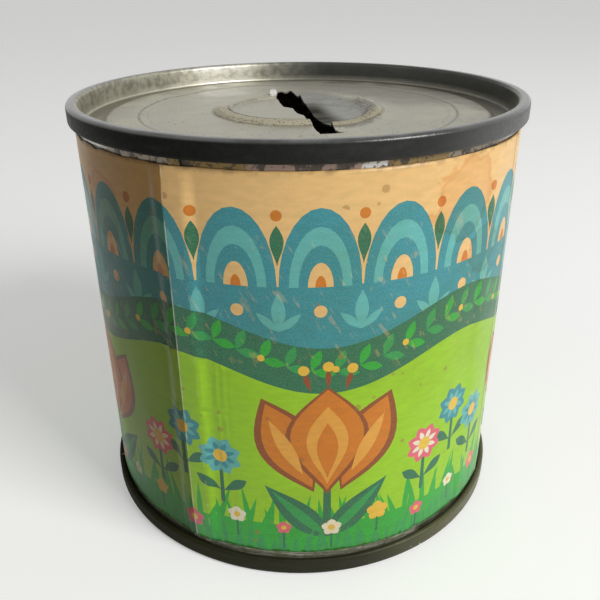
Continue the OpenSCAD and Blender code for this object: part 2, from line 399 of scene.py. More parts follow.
class Finish(Nodes):
    """A material in the making, with the places on its piece in millimetres and its tint so far."""

    def __init__(self, name, tint):
        self.material = bpy.data.materials.new(name)
        self.material.use_nodes = True
        self.material.diffuse_color = as_rgba(tint)
        self.shader = self.material.node_tree.nodes["Principled BSDF"].inputs
        super().__init__(self.material.node_tree)

    def measure(self, coordinates, unit):
        """Takes the places from coordinates that count in the given unit."""
        self.spot = self.scaled(coordinates, unit)
        parts = self.add("SeparateXYZ", {0: self.spot})
        self.x, self.y, self.z = parts["X"], parts["Y"], parts["Z"]

    def give(self, socket, value):
        self.put(self.shader[socket], value)

    def coat(self, mask, tint, blend="MIX"):
        """Lays a tint over the one so far where the mask is 1."""
        self.tint = self.mix(mask, self.tint, tint, blend)

    def mottle(self, scale, low, high, at=None):
        return self.use("mottle", Vector=at or self.spot, Scale=scale, Low=low, High=high)["Mask"]

    def specks(self, scale, size, patches):
        return self.use("specks", Vector=self.spot, Scale=scale, Size=size, Patches=patches)["Mask"]

    def bump(self, height, strength, distance_mm):
        inputs = {"Height": height, "Strength": strength, "Distance": distance_mm * MM}
        self.give("Normal", self.add("Bump", inputs)["Normal"])


class CanFinish(Finish):
    """A finish placed by object coordinates and by the distance from the can's axis."""

    def __init__(self, name, tint):
        super().__init__(name, tint)
        self.measure(self.add("TexCoord")["Object"], 1 / MM)
        self.away = self.vector("LENGTH", self.vector("MULTIPLY", self.spot, (1, 1, 0)))

    def ring(self, middle, half, soft):
        """1 on a ring round the axis, 0 beside it."""
        return self.away.inside(middle - half, middle + half, soft)

    def towards(self, degrees):
        """Cosine of the angle round the axis between a point and a direction."""
        turn = math.radians(degrees)
        along = self.x * math.cos(turn) + self.y * math.sin(turn)
        return along / self.most(self.away, 0.1)


def dress(obj, finish):
    """Leaves the piece with this one finish."""
    obj.data.materials.clear()
    obj.data.materials.append(finish.material)


# ---- Lid ----

ARC_STEP = math.radians(15)
PANEL_STEP = 0.9
SPIN_STEPS = 216
DENT_Y = 1.2
NICK = 0.07
NICK_STEP = 0.7
# The slot's outline in half widths and half lengths, from the rear down the left
# edge and back up the torn right edge with its two teeth
SLOT_EDGE = (
    (-0.43, 0.95), (-1.08, 0.64), (-1.24, 0.35), (-1.31, 0.14), (-0.84, 0.05), (-0.94, -0.18),
    (-0.72, -0.29), (-0.84, -0.48), (-0.96, -0.66), (-1.04, -0.85), (-1.11, -1.02),
    (0.38, -1.02), (0.12, -0.98), (0.06, -0.90), (0.43, -0.60), (0.61, -0.49), (0.50, -0.44),
    (0.44, -0.36), (0.56, -0.15), (0.65, 0.05), (0.81, 0.27), (0.93, 0.47), (0.96, 0.63),
    (1.06, 0.83), (0.86, 0.78), (0.73, 0.81), (0.65, 0.88), (0.54, 0.96), (0.25, 0.91),
    (-0.04, 0.89), (-0.22, 0.95),
)


def corner(a, b, c, radius):
    """The points of the arc that rounds the corner b of the line a, b, c."""
    u, v = (a - b).normalized(), (c - b).normalized()
    half = u.angle(v) / 2
    centre = b + (u + v).normalized() * (radius / math.sin(half))
    start = b + u * (radius / math.tan(half)) - centre
    end = b + v * (radius / math.tan(half)) - centre
    turn = (math.pi - 2 * half) * (1 if start.x * end.y - start.y * end.x > 0 else -1)
    steps = max(2, math.ceil(abs(turn) / ARC_STEP))
    first = math.atan2(start.y, start.x)
    angles = [first + turn * k / steps for k in range(steps + 1)]
    return [centre + radius * Vector((math.cos(t), math.sin(t))) for t in angles]


def rounded(points):
    """A line through (r, z, bend radius) points with its corners rounded and its panel cut small."""
    at = [Vector(p[:2]) for p in points]
    line = [at[0]]
    for k in range(1, len(points) - 1):
        line += corner(at[k - 1], at[k], at[k + 1], points[k][2])
    line.append(at[-1])
    path = [line[0]]
    for p in line[1:]:
        if (p - path[-1]).length < 0.001:
            continue
        cuts = max(1, math.ceil((p - path[-1]).length / PANEL_STEP))
        start = path[-1]
        path += [start.lerp(p, k / cuts) for k in range(1, cuts + 1)]
    return path


def beside(path, h):
    """The path moved sideways by h."""
    moved = []
    for k, p in enumerate(path):
        before = (path[max(k, 1)] - path[max(k, 1) - 1]).normalized()
        after = (path[min(k, len(path) - 2) + 1] - path[min(k, len(path) - 2)]).normalized()
        across = Vector((-before.y - after.y, before.x + after.x)).normalized()
        moved.append(p + across * (h / across.dot(Vector((-after.y, after.x)))))
    return moved


class LidForm:
    """The top end's shape in millimetres, with z = 0 at the top of the rim."""

    def __init__(self, props):
        self.props = {name: getattr(props, name) / MM for name in props.__annotations__}
        p = self.props
        self.plate = p["plate"]
        wall = LID_HIGH.x / MM - self.plate / 2
        layer = p["seam_layer"]
        self.chuck = wall - 4 * layer
        hook = wall - 2 * layer
        rim = -self.plate / 2
        curl = -p["seam_high"] + self.plate / 2
        hook_end = rim - 2 * layer - 0.15
        groove = rim - p["groove"]
        land = groove + p["land_rise"]
        self.panel = land - p["panel_drop"]
        foot = self.chuck - p["wall_lean"]
        self.r_land = self.chuck - p["groove_wide"]
        self.r_panel = self.r_land - p["land_wide"]
        bead_out = p["bead"] + p["bead_wide"] / 2
        bead_in = p["bead"] - p["bead_wide"] / 2
        crown = self.panel + p["bead_high"]
        self.line = rounded([
            (hook, hook_end, 0), (hook, curl, layer), (wall, curl, layer), (wall, rim, p["seam_corner"]),
            (self.chuck, rim, p["seam_corner"]), (foot, groove, 0.5), (self.r_land + 0.8, groove, 0.5),
            (self.r_land, land, 0.5), (self.r_panel + 0.8, land, 0.5), (self.r_panel, self.panel, 0.5),
            (bead_out + 0.9, self.panel, 0.5), (bead_out, crown, 0.5), (bead_in, crown, 0.5),
            (bead_in - 0.5, self.panel, 0.25), (0, self.panel, 0),
        ])
        self.foot_z = LID_HIGH.z / MM + groove
        self.bead = (bead_in, bead_out)
        self.slot_x = p["slot_off"]
        self.half_wide = p["slot_wide"] / 2
        self.half_long = p["slot_long"] / 2
        self.scrap = Vector((self.slot_x - self.half_wide * 1.36, self.half_long * 0.63, self.panel))

    def dented(self, x, y):
        """How far the plate is pushed down beside the slot's right edge, as a negative height."""
        p = self.props
        across = (x - self.slot_x - self.half_wide) / p["dent_wide"]
        along = (y - DENT_Y) / (p["dent_long"] / 2)
        hollow = p["dent"] * (across * across + along * along - 1)
        soft = 0.2
        h = min(max(0.5 + 0.5 * hollow / soft, 0), 1)
        pushed = hollow * (1 - h) - soft * h * (1 - h)
        r = math.hypot(x, y)
        crown = smooth((r - self.bead[0] + 0.5) / 0.5) * smooth((self.bead[1] + 0.9 - r) / 0.9)
        pushed -= p["bead_high"] * crown * smooth(-pushed / 0.25) * smooth((y + 5) / 4)
        return pushed * smooth((x - self.slot_x + 0.6) / 1.8)

    def settle(self, v):
        """A point of the spun plate with its dent and unevenness, never outside the plain shape."""
        r = math.hypot(v.x, v.y)
        spot = Vector((v.x, v.y, 0))
        ripple = self.props["ripple"]
        if r > self.chuck - 0.3:
            wave = 0.45 + 0.3 * noise.noise(spot * 0.11) + 0.1 * noise.noise(spot * 0.5)
            shrink = 1 - ripple * wave / r
            return Vector((v.x * shrink, v.y * shrink, v.z))
        calm = smooth((self.chuck - 1 - r) / 3)
        z = v.z + calm * ripple * (noise.noise(spot * 0.16) * 2.2 + noise.noise(spot * 0.45))
        if r < self.r_panel:
            z += self.dented(v.x, v.y)
        return Vector((v.x, v.y, z))

    def slot_outline(self):
        """The torn edge, with small nicks between the outline's main points."""
        rng = random.Random(3)
        ends = SLOT_EDGE + SLOT_EDGE[:1]
        points = []
        for a, b in zip(ends, ends[1:]):
            start = Vector((self.slot_x + a[0] * self.half_wide, a[1] * self.half_long))
            end = Vector((self.slot_x + b[0] * self.half_wide, b[1] * self.half_long))
            cuts = max(1, round((end - start).length / NICK_STEP))
            for k in range(cuts):
                nick = 0 if k == 0 else rng.uniform(-NICK, NICK)
                p = start.lerp(end, k / cuts)
                points.append(Vector((p.x + nick, p.y)))
        return points


def spun_lid(form):
    top = beside(form.line, form.plate / 2)
    under = beside(form.line, -form.plate / 2)
    outline = top[::-1] + under
    mesh = bpy.data.meshes.new("lid")
    edges = [(k, k + 1) for k in range(len(outline) - 1)]
    mesh.from_pydata([(max(q.x, 0.0), 0, q.y) for q in outline], edges, [])
    obj = bpy.data.objects.new("lid", mesh)
    bpy.context.scene.collection.objects.link(obj)
    edit(
        obj,
        lambda: bpy.ops.mesh.spin(steps=SPIN_STEPS, angle=2 * math.pi, center=(0, 0, 0), axis=(0, 0, 1)),
        lambda: bpy.ops.mesh.remove_doubles(threshold=0.0005),
        face_outwards,
    )
    return obj


def cut_slot(obj, form):
    outline = form.slot_outline()
    n = len(outline)
    low, high = form.panel - 4, form.panel + 4
    verts = [(p.x, p.y, low) for p in outline] + [(p.x, p.y, high) for p in outline]
    sides = [(k, (k + 1) % n, n + (k + 1) % n, n + k) for k in range(n)]
    cutter = mesh_object("slot cutter", verts, [tuple(range(n))[::-1], tuple(range(n, 2 * n))] + sides)
    edit(cutter, face_outwards)
    modify(obj, "BOOLEAN", operation="DIFFERENCE", solver="EXACT", object=cutter)
    bpy.data.objects.remove(cutter)


def curled_scrap(form):
    """The bright scrap that the tear left curled up at the slot's rear corner."""
    wide, radius = form.props["scrap_wide"], form.props["scrap"]
    rings, cells = 14, 5
    verts = []
    for k in range(rings + 1):
        done = k / rings
        angle = math.radians(230) * done
        r = radius * (1 - 0.25 * done)
        y = form.scrap.y - r * math.sin(angle)
        z = form.scrap.z + radius - r * math.cos(angle)
        for j in range(cells + 1):
            full = 0.5 + 0.5 * math.sin(math.pi * min(done * 1.25, 1))
            across = (j / cells - 0.5) * wide * full
            verts.append((form.scrap.x + across + 0.15 * done, y + 0.25 * across, z))
    row = cells + 1
    faces = [(k * row + j, k * row + j + 1, (k + 1) * row + j + 1, (k + 1) * row + j)
             for k in range(rings) for j in range(cells)]
    scrap = mesh_object("scrap", verts, faces)
    modify(scrap, "SOLIDIFY", thickness=form.plate * 0.8, offset=0)
    return scrap


def lid_mesh(form):
    obj = spun_lid(form)
    cut_slot(obj, form)
    for v in obj.data.vertices:
        v.co = form.settle(v.co)
    scrap = curled_scrap(form)
    bpy.ops.object.select_all(action="DESELECT")
    scrap.select_set(True)
    obj.select_set(True)
    bpy.context.view_layer.objects.active = obj
    bpy.ops.object.join()
    obj.data.transform(Matrix.Translation((0, 0, LID_HIGH.z)) @ Matrix.Scale(MM, 4))
    only(obj)
    bpy.ops.object.shade_smooth_by_angle(angle=math.radians(40))
    return obj


# ---- Tinplate ----

SCRAP_TINTS = ((0.66, 0.65, 0.60), (0.40, 0.39, 0.35))


def cover_plate(tin, props, form):
    """Dull plate with clouds, tarnished rings, painted shade towards the rear and a painted highlight at
    the left rear. Returns clouds and grain.
    """
    cloud = tin.mottle(0.16, 0.36, 0.66)
    fine = tin.mottle(1.7, 0.35, 0.65)
    tin.tint = tin.mix(cloud, faded(props.plate, 0.90), faded(props.plate, 1.08))
    tin.coat(fine * 0.13, faded(props.plate, 0.55))
    gutter = tin.away.spread(form.r_land - 0.3, form.r_land + 0.7)
    tin.coat(gutter * cloud.spread(-1.0, 0.8) * 0.72, props.tarnish_and_shade)
    # Painted shade: the plate darker towards the rear, outside the bead.
    darkened = tin.towards(40).spread(0.50, 0.90)
    sweep = tin.away.spread(12.5, 17.0) * cloud.spread(-1.2, 0.6) * darkened
    tin.coat(sweep * 0.60, props.tarnish_and_shade)
    # A painted highlight beside the bead at the left rear, with painted shade on the outer land in the same
    # direction.
    glint_side = tin.towards(116).spread(0.972, 0.998)
    beside_bead = tin.away.spread(15.5, 19.0) * tin.away.spread(25.0, 22.0)
    tin.coat(glint_side * beside_bead * 0.45, props.bright)
    tin.coat(glint_side * tin.away.spread(24.5, 27.0) * 0.45, props.tarnish_and_shade)
    return cloud, fine


def line_steps(tin, props, form, fine):
    """Thin dark lines of painted shade at the steps of the plate."""
    bead_in, bead_out = form.bead
    lines = tin.ring(bead_in - 0.3, 0.12, 0.14) * 0.35
    steps = ((bead_out + 1.0, 0.12, 0.55), (form.r_panel + 0.1, 0.14, 0.8), (form.r_panel - 1.2, 0.1, 0.2))
    for middle, half, share in steps:
        lines = tin.most(lines, tin.ring(middle, half, 0.25) * share)
    tin.coat(lines * fine.spread(-0.8, 0.8), faded(props.tarnish_and_shade, 0.5))


def shade_dent(tin, props, form, fine):
    """Painted light and shade in the dent: its greyer hollow, painted shade at its lip, its dark mottled
    border and the painted shade line and painted highlight of its crease. Returns where the painted shade
    is darkest.
    """
    lip = form.slot_x + form.half_wide
    across = (tin.x - lip) / form.props["dent_wide"]
    along = (tin.y - DENT_Y) / (form.props["dent_long"] / 2)
    depth = across * across + along * along
    right = tin.math("GREATER_THAN", tin.x, form.slot_x)
    rays = tin.noise(tin.vector("MULTIPLY", tin.spot, (0.18, 1.2, 1.0)), 0.8, 2.0)
    # Painted shade: the hollow a greyer tone than the plate, in streaks.
    inner = depth.spread(1.05, 0.75) * right
    tin.coat(inner * rays.spread(-0.2, 0.8, 0.35, 0.75), faded(props.crest, 2.1))
    # Painted shade beside the slot's right lip.
    shade = tin.x.spread(lip + 3.6, lip + 0.4) * tin.y.spread(-10.0, -5.0)
    shade = shade * tin.y.spread(13.0, 5.0) * rays.spread(0.2, 0.6, 0.7, 1.0) * right
    tin.coat(shade * 0.88, faded(props.tarnish_and_shade, 0.35))
    outer = depth.spread(0.55, 0.8) * depth.spread(1.25, 1.0)
    outer = outer * tin.y.spread(9.0, 2.0) * right
    tin.coat(outer * fine.spread(-0.2, 0.6) * 0.75, faded(props.tarnish_and_shade, 0.8))
    # A painted shade line along the crease, with a painted highlight beside it.
    askew = tin.x + tin.y * 0.1
    crease = askew.inside(12.6, 12.95, 0.15) * tin.y.inside(-1.0, 7.5, 1.0)
    tin.coat(crease * 0.85, faded(props.tarnish_and_shade, 0.4))
    sheen = askew.inside(12.0, 12.45, 0.15) * tin.y.inside(-3.0, 2.5, 1.0)
    tin.coat(sheen * 0.7, props.bright)
    return shade


def wear_bead(tin, props, form):
    """The bead's crown, worn to grains at the front, with painted shade lines at its edges. Returns the
    wear and its grit.
    """
    bead_in, bead_out = form.bead
    front = (tin.y + tin.x * 0.25).spread(2.0, -4.0)
    sand = tin.mottle(3.2, 0.32, 0.52)
    worn = tin.ring(form.props["bead"] + 0.45, 1.25, 0.3) * front * sand.spread(-0.3, 0.8)
    grit = tin.specks(3.8, 0.62, 0.1)
    tin.coat(worn * 0.72, props.wear)
    tin.coat(worn * grit * 0.75, props.grime)
    # Painted shade lines at the bead's inner foot and outer edge, broken by noise.
    broken = tin.noise(tin.spot, 1.1, 2.0).spread(0.38, 0.52, 0.5, 1.0)
    edges = tin.most(tin.ring(bead_in + 0.2, 0.2, 0.12), tin.ring(bead_out + 0.75, 0.05, 0.15))
    tin.coat(edges * front * broken, faded(props.tarnish_and_shade, 0.4))
    return worn, grit


def cover_wall(tin, props, form):
    """The countersink's wall: speckled on the left, with a painted highlight at the left rear and at its
    foot, and painted shade on the right.
    """
    speckle = tin.mottle(0.9, 0.36, 0.62)
    bare = tin.mix(speckle, faded(props.plate, 0.62), faded(props.plate, 0.98))
    # Painted shade on the right side of the wall and painted light towards its foot.
    foot = tin.z.spread(form.foot_z + 1.3, form.foot_z + 0.5)
    shaded = tin.towards(28).spread(0.35, 0.80)
    bare = tin.mix(shaded * tin.blend(foot, 0.96, 0.88), bare, faded(props.crest, 0.48))
    bare = tin.mix(foot * shaded.spread(0.6, 0.0) * 0.7, bare, faded(props.plate, 1.15))
    bare = tin.mix(foot * 0.22, bare, props.plate)
    # A painted highlight at the left rear.
    glint_side = tin.towards(103).spread(0.972, 0.993)
    bare = tin.mix(glint_side * speckle.spread(-1.2, 0.6) * 0.35, bare, props.bright)
    tin.coat(tin.away.spread(form.chuck - 0.75, form.chuck - 0.4), bare)


def cover_band(tin, props, band, depth, cloud, fine, low):
    """The seam band: nearly black, with a painted highlight on its crest, tiny chips and dull smears."""
    # Painted highlight: the crest lighter.
    crest = depth.spread(0.45, 0.0) * cloud.spread(-0.3, 0.8)
    tint = tin.mix(crest, low, props.crest)
    smear = tin.mottle(0.3, 0.45, 0.75, tin.vector("MULTIPLY", tin.spot, (1, 1, 3)))
    tint = tin.mix(smear * 0.22, tint, faded(props.crest, 0.5))
    tint = tin.mix(fine * 0.15, tint, props.grime)
    tint = tin.mix(tin.specks(0.6, 0.20, 0.55) * 0.7, tint, props.bright)
    tin.coat(band, tint)


def end_finish(name, props, form, z_rim, side):
    """Dull tinplate with a dark seam band, worn crowns, dirty grooves and painted light and shade. side is
    1 on top, -1 below.
    """
    tin = CanFinish(name, props.plate)
    cloud, fine = cover_plate(tin, props, form)
    line_steps(tin, props, form, fine)
    shade = shade_dent(tin, props, form, fine)
    tin.coat(tin.specks(1.5, 0.30, 0.50) * 0.6, props.grime)
    tin.coat(tin.specks(2.6, 0.36, 0.40) * 0.65 * tin.y.spread(-11.0, -15.0), props.grime)
    worn, grit = wear_bead(tin, props, form)
    cover_wall(tin, props, form)
    depth = (tin.z - z_rim) * -side
    band = tin.away.spread(form.chuck + 0.05, form.chuck + 0.35)
    crest = band * depth.spread(0.5, 0.1)
    lit = tin.towards(-35)
    # Painted light: the band lighter on its side towards the lamp.
    if side > 0:
        low = tin.mix(lit.spread(0.72, 1.0), props.band, faded(props.crest, 0.8))
        gloss = tin.blend(crest, lit.spread(-0.2, 1.05, 0.02, 0.34), 1.0)
    else:
        low = tin.mix(lit.spread(0.55, 1.0), props.low_band, faded(props.low_band, 5.0))
        gloss = lit.spread(-0.4, 1.0, 0.0, 0.22)
    cover_band(tin, props, band, depth, cloud, fine, low)
    curl = form.scrap + Vector((0, 0, z_rim + form.props["scrap"]))
    reach = form.props["scrap"] + 0.35
    near = tin.vector("DISTANCE", tin.spot, tuple(curl)).spread(reach, reach - 0.2)
    tin.coat(near, tin.mix(fine, *SCRAP_TINTS))
    tin.give("Base Color", tin.tint)
    metal = tin.blend(band, tin.blend(worn, 0.85, 0.3), 0.2)
    tin.give("Metallic", tin.blend(near, metal, 0.1))
    rough = tin.blend(band, cloud.spread(0, 1, 0.34, 0.48), fine.spread(0, 1, 0.34, 0.44))
    tin.give("Roughness", tin.blend(near, tin.blend(crest, rough + worn * 0.25, 0.14), 0.6))
    tin.give("Specular IOR Level", 0.3)
    tin.give("Specular IOR Level", tin.blend(band, 0.5, gloss))
    # The painted shade beside the slot's lip also dims the edge reflection.
    tin.give("Specular Tint", tin.mix(shade, (1, 1, 1), (0.25, 0.25, 0.25)))
    tin.bump(fine * 0.3 - grit * worn, 0.5, 0.05)
    return tin


def body_finish(props):
    """Tarnished tin with rust, lacquer traces and dirt in long patches, painted highlights on the strip
    above the label, and a stained foot with a painted reflection and painted highlight streaks.
    """
    tin = CanFinish("body tinplate", props.body)
    jolt = tin.scaled(tin.add("TexNoise", {"Vector": tin.spot, "Scale": 0.35})["Color"], 4.0)
    shaken = tin.vector("ADD", tin.spot, jolt)
    tin.tint = tin.mix(tin.noise(tin.spot, 0.3, 2.0), faded(props.body, 0.6), faded(props.body, 1.1))
    patches = (
        (props.lacquer, -120, 0.985, 0.9),
        (props.rust, -99, 0.965, 0.9),
        (props.lacquer, -78, 0.992, 0.8),
        # A painted highlight patch on the bare strip above the label.
        (props.bright, -88, 0.9988, 0.9),
        (props.rust, 60, 0.6, 0.7),
        (props.lacquer, 150, 0.8, 0.7),
    )
    rim = tin.noise(shaken, 0.6)
    spoiled = 0.0
    for patch, turn, near, share in patches:
        far = 1 - near
        mask = (tin.towards(turn) + rim * (far * 1.2)).spread(near + far * 0.55, near + far * 0.75)
        tin.coat(mask * share, patch)
        spoiled = tin.most(spoiled, mask)
    tin.coat(tin.mottle(0.4, 0.52, 0.58, shaken) * 0.85, props.grime)
    scuffs = tin.mottle(1.6, 0.52, 0.62)
    tin.coat(scuffs * 0.75, props.grime)
    # Towards the sides of the view: darker just at the label's top edge, with a painted highlight line
    # above it.
    ends = tin.towards(-100).spread(0.70, 0.58)
    edge = LABEL_HIGH.z / MM
    tin.coat(ends * tin.z.inside(edge - 0.3, edge + 0.14, 0.05) * 0.85, faded(props.grime, 1.6))
    tin.coat(ends * tin.z.spread(edge + 0.15, edge + 0.25) * 0.85, props.bright)
    stained = tin.mix(tin.noise(tin.spot, 0.8), faded(props.foot_stain_and_reflection, 0.6), faded(props.foot_stain_and_reflection, 1.4))
    # Painted highlight streaks along the foot.
    streaks = tin.noise(tin.vector("MULTIPLY", tin.spot, (0.3, 0.3, 4.0)), 1.0, 2.0)
    stained = tin.mix(streaks.spread(0.50, 0.66, 0.0, 0.6), stained, props.bright)
    tin.coat(tin.z.spread(8.0, 6.0), tin.mix(scuffs * 0.4, stained, props.grime))
    tin.give("Base Color", tin.tint)
    tin.give("Metallic", tin.blend(spoiled, 0.75, 0.35))
    tin.give("Roughness", tin.blend(spoiled, 0.30, 0.5))
    tin.bump(scuffs, 0.4, 0.03)
    return tin


class MONEYBOX_OT_lid(bpy.types.Operator):
    """Press the top end, tear its slot and give both ends their finish"""

    bl_idname = "moneybox.lid"
    bl_label = "Ends"

    def execute(self, context):
        tin = context.scene.moneybox_tin
        form = LidForm(context.scene.moneybox_lid)
        obj = lid_mesh(form)
        dress(obj, end_finish("lid tinplate", tin, form, LID_HIGH.z / MM, 1))
        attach(obj, "root")
        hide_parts("top_end")
        dress(NODES["bottom_end"], end_finish("base tinplate", tin, form, 0.0, -1))
        return {"FINISHED"}


class MONEYBOX_OT_body(bpy.types.Operator):
    """Give the body its worn bright tin"""

    bl_idname = "moneybox.body"
    bl_label = "Body"

    def execute(self, context):
        dress(NODES["can_body"], body_finish(context.scene.moneybox_tin))
        return {"FINISHED"}


def filling_finish(name, tint, metal, rough, grain):
    stuff = CanFinish(name, tint)
    patch = stuff.mottle(grain, 0.35, 0.65)
    stuff.give("Base Color", stuff.mix(patch, tint, faded(tint, 0.55)))
    stuff.give("Metallic", metal)
    stuff.give("Roughness", stuff.blend(patch, rough, rough + 0.15))
    stuff.bump(patch, 0.5, 0.04)
    return stuff


class MONEYBOX_OT_fillings(bpy.types.Operator):
    """Give the sealing compound, the solder and the glue their finish"""

    bl_idname = "moneybox.fillings"
    bl_label = "Fillings"

    def execute(self, context):
        props = context.scene.moneybox_filling
        compound = filling_finish("sealing compound", props.compound, 0.0, 0.7, 1.5)
        glue = filling_finish("label glue", props.glue, 0.0, 0.4, 0.8)
        for node in ("top_seam_compound", "bottom_seam_compound"):
            dress(NODES[node], compound)
        for node in ("label_pickup_glue", "label_lap_glue"):
            dress(NODES[node], glue)
        solder = filling_finish("solder", props.solder, 0.9, 0.45, 1.1)
        dress(NODES["side_seam_solder"], solder)
        return {"FINISHED"}


# ---- Label print ----

STEM_TINT = "deep_green"


class Frieze:
    """The print on the label, as (outline, colour name) from the ground up, in millimetres."""

    def __init__(self, round_mm, repeats):
        self.shapes = []
        self.round = round_mm
        self.repeats = repeats
        self.period = round_mm / repeats
        self.shift = 0.4 * self.period

    def hills(self, x):
        """How far the field's edge rises or falls at x."""
        return 1.0 - 2.4 * math.cos(2 * math.pi * (x - self.shift) / self.period)

    def disc(self, tint, x, y, r, n):
        turns = [2 * math.pi * k / n for k in range(n)]
        self.shapes.append(([(x + r * math.cos(t), y + r * math.sin(t)) for t in turns], tint))

    def petal(self, tint, x, y, long, wide, turn, blunt=0.5, n=9):
        """A petal from (x, y), turned from upright, widest near its tip when blunt."""
        edge = [(wide / 2 * math.sin(math.pi * (k / n) ** (1 + blunt)), long * k / n) for k in range(n + 1)]
        outline = edge + [(-a, b) for a, b in edge[-2:0:-1]]
        c, s = math.cos(math.radians(turn)), math.sin(math.radians(turn))
        self.shapes.append(([(x + a * c + b * s, y - a * s + b * c) for a, b in outline], tint))

    def stem(self, x, low, high, wide):
        foot, tip = wide / 2, wide / 2.6
        outline = [(x - foot, low), (x + foot, low), (x + tip, high), (x - tip, high)]
        self.shapes.append((outline, STEM_TINT))

    def arch(self, tint, x, y, wide, high, n=14):
        turns = [math.pi * k / n for k in range(n + 1)]
        outline = [(x + wide / 2 * math.cos(t), y + high * math.sin(t)) for t in turns]
        self.shapes.append((outline, tint))

    def band(self, tint, low, high, step, wave=lambda x: 0.0):
        """A band round the can whose upper edge follows high + wave(x)."""
        first, last = -self.period, self.round + self.period
        count = int((last - first) / step)
        xs = [first + (last - first) * k / count for k in range(count + 1)]
        self.shapes.append(([(x, low) for x in xs] + [(x, high + wave(x)) for x in reversed(xs)], tint))

    def tulip(self, x, foot):
        """A large flower with two leaves."""
        head = foot + 8.5
        self.stem(x, foot, head + 2, 1.3)
        for side in (-1, 1):
            self.petal(STEM_TINT, x, foot, 13.0, 4.3, side * 43, -0.25)
            self.petal("leaf_green", x + side * 0.4, foot + 0.5, 11.0, 1.6, side * 43, -0.25)
        for side in (-1, 1):
            self.petal("brown", x + side * 1.9, head, 17.2, 8.4, side * 24, 0.1, 12)
            self.petal("orange", x + side * 2.1, head + 0.8, 15.4, 6.6, side * 24, 0.1, 12)
        self.petal("brown", x, head - 0.5, 18.0, 11.6, 0, 0.15, 14)
        self.petal("orange", x, head + 0.3, 16.8, 10.2, 0, 0.15, 14)
        self.petal("amber", x, head + 1.4, 13.0, 5.8, 0, 0.2, 12)
        self.petal("orange", x, head + 2.4, 9.4, 3.0, 0, 0.2)
        for side in (-1, 1):
            self.petal("amber", x + side * 3.4, head + 3.2, 10.2, 2.0, side * 27, 0)
        for k in (-1, 0, 1):
            self.petal("brown", x + k * 2.3, head + 17.2 - abs(k) * 0.4, 3.2, 0.8, k * 16, 0.3)
            self.disc("yellow", x + k * 3.2, head + 20.6 - abs(k) * 0.5, 0.75, 12)

    def rosette(self, x, foot, tint, core):
        """A small round flower of eight petals on a straight stem."""
        top = foot + 8.4
        self.stem(x, foot, top, 0.7)
        for side in (-1, 1):
            self.petal(STEM_TINT, x, foot + 2.0, 4.6, 1.7, side * 55)
        for layer, long, wide in ((tint, 3.3, 1.95), (core, 2.4, 0.8)):
            for k in range(8):
                self.petal(layer, x, top, long, wide, 45 * k + 22.5, 0.4)
        self.disc("yellow", x, top, 1.1, 14)

    def blossom(self, x, y, size, tint):
        self.stem(x, y - 4, y, 0.35)
        for k in range(5):
            self.petal(tint, x, y, size, size * 0.85, 72 * k, 0.5, 6)
        self.disc("yellow", x, y, size * 0.34, 10)

    def scallops(self):
        """The blue band with its row of arches, leaves and sprigs."""
        count = 4 * self.repeats
        step = self.round / count
        crown = 43.5
        self.band("blue", 34, crown, 2)
        arches = ((0.98, 10.0, "blue"), (0.74, 7.7, "pale_blue"), (0.52, 5.4, "blue"),
                  (0.30, 3.2, "paper"), (0.13, 1.5, "orange"))
        for k in range(-4, count + 4):
            x = (k + 0.5) * step
            for wide, high, tint in arches:
                self.arch(tint, x, crown - 0.1, step * wide, high)
            self.petal(STEM_TINT, k * step, crown + 2.6, 5.2, 1.7, 0, 0.4)
            self.disc("orange", k * step, crown + 9.0, 0.7, 12)
            self.petal("pale_blue", k * step, crown - 6.2, 5.4, 1.8, 0, 0)
            for side in (-1, 1):
                self.petal("pale_blue", k * step, crown - 6.2, 3.8, 1.1, side * 48, 0)
            self.disc("paper", x, crown - 3.4, 0.85, 12)

    def garland(self):
        """The dark green band with its wreath of leaves and berries."""
        step = self.period / 13
        self.band(STEM_TINT, 24, 36.2, 1.5, self.hills)
        for k in range(-13, 13 * (self.repeats + 1)):
            x = (k + 0.5) * step
            y = 32.8 + self.hills(x)
            for side in (-1, 1):
                self.petal("leaf_green" if k % 2 else "grass", x, y, 3.3, 1.35, 62 + side * 40, 0.1, 6)
            if k % 3 == 0:
                self.disc("yellow", x, y + 0.2, 0.5, 10)

    def grass(self, tint, rng, foot, shortest, longest, wide, blunt, n, offset):
        """A row of blades round the can, each of its own length and lean."""
        blades = 36 * self.repeats
        for k in range(-20, blades + 20):
            x = (k + offset) * self.round / blades
            long = rng.uniform(shortest, longest)
            self.petal(tint, x, foot, long, wide, rng.uniform(-18, 18), blunt, n)

    def flowers(self):
        """The large flowers with three small ones between each two."""
        for k in range(-2, self.repeats + 1):
            x = k * self.period + self.shift
            self.rosette(x + self.period * 0.5, 12, "blue", "pale_blue")
            self.rosette(x + self.period * 0.365, 7.5, "pink", "white")
            self.rosette(x + self.period * 0.635, 8.2, "pale_blue", "blue")
            self.tulip(x, 3.0)

    def blossoms(self):
        """The row of small blossoms at the foot."""
        tints = ("pink", "white", "yellow", "pink", "white")
        count = 6 * self.repeats
        for k in range(-6, count + 6):
            x = (k + 0.5) * self.round / count
            y = 5.2 + 1.3 * math.sin(k * 2.4)
            self.blossom(x, y, 1.5 + 0.3 * math.sin(k * 1.7), tints[k % 5])


def label_print(round_mm, repeats):
    """The frieze's shapes, from the ground up."""
    frieze = Frieze(round_mm, repeats)
    rng = random.Random(7)
    frieze.scallops()
    frieze.garland()
    frieze.band("lime", 3, 29.4, 1.5, frieze.hills)
    frieze.band("grass", 0, 5.4, 2)
    frieze.grass("grass", rng, 2.6, 5.5, 10.5, 1.0, -0.35, 6, 0)
    frieze.flowers()
    frieze.grass("leaf_green", rng, -0.5, 3.0, 6.0, 0.9, -0.4, 5, 0.5)
    frieze.blossoms()
    return frieze.shapes


# ---- Label sheet ----

FLAT_UNIT = 100.0
BRUSH_TINT = (0.30, 0.34, 0.22)
# Dried wet patches away from the lap: place along and up the label, and radius
WET_PATCHES = ((150, 50, 4.5), (60, 20, 6.0), (105, 46, 7.0))


